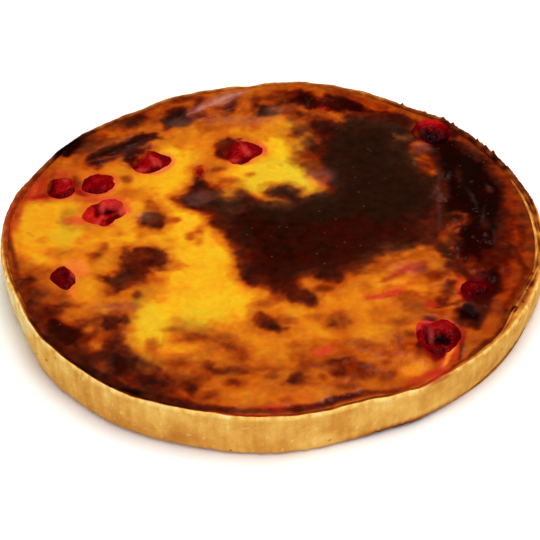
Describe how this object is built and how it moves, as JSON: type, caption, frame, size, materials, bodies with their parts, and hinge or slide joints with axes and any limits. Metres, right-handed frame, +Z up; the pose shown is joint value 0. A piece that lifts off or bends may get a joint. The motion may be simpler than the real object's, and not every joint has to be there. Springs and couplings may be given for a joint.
{
  "type": "cherry flan",
  "caption": "Whole round baked custard flan in a low straight-sided pastry case, its skin scorched in patches, with cherries sunk in the custard.",
  "frame": {"origin": "middle of the flan's underside, where it rests", "axes": "+Z up, +X to the right and +Y away from the side shown nearest in the picture"},
  "size_m": [0.2754, 0.2776, 0.0262],
  "materials": {
    "crust": "pale gold baked shortcrust, matt, with fine streaks and a few dark specks",
    "custard": "baked custard skin, yellow to orange, scorched red-brown to black in patches, softly glossy",
    "cherry": "dark red baked cherry skin, wrinkled and wet"
  },
  "bodies": {
    "root": {"crust": "crust", "custard": "custard", "cherry_1": "cherry", "cherry_2": "cherry", "cherry_3": "cherry", "cherry_4": "cherry", "cherry_5": "cherry", "cherry_6": "cherry", "cherry_7": "cherry", "cherry_8": "cherry", "cherry_9": "cherry", "cherry_10": "cherry", "cherry_11": "cherry", "cherry_12": "cherry"}
  },
  "joints": []
}
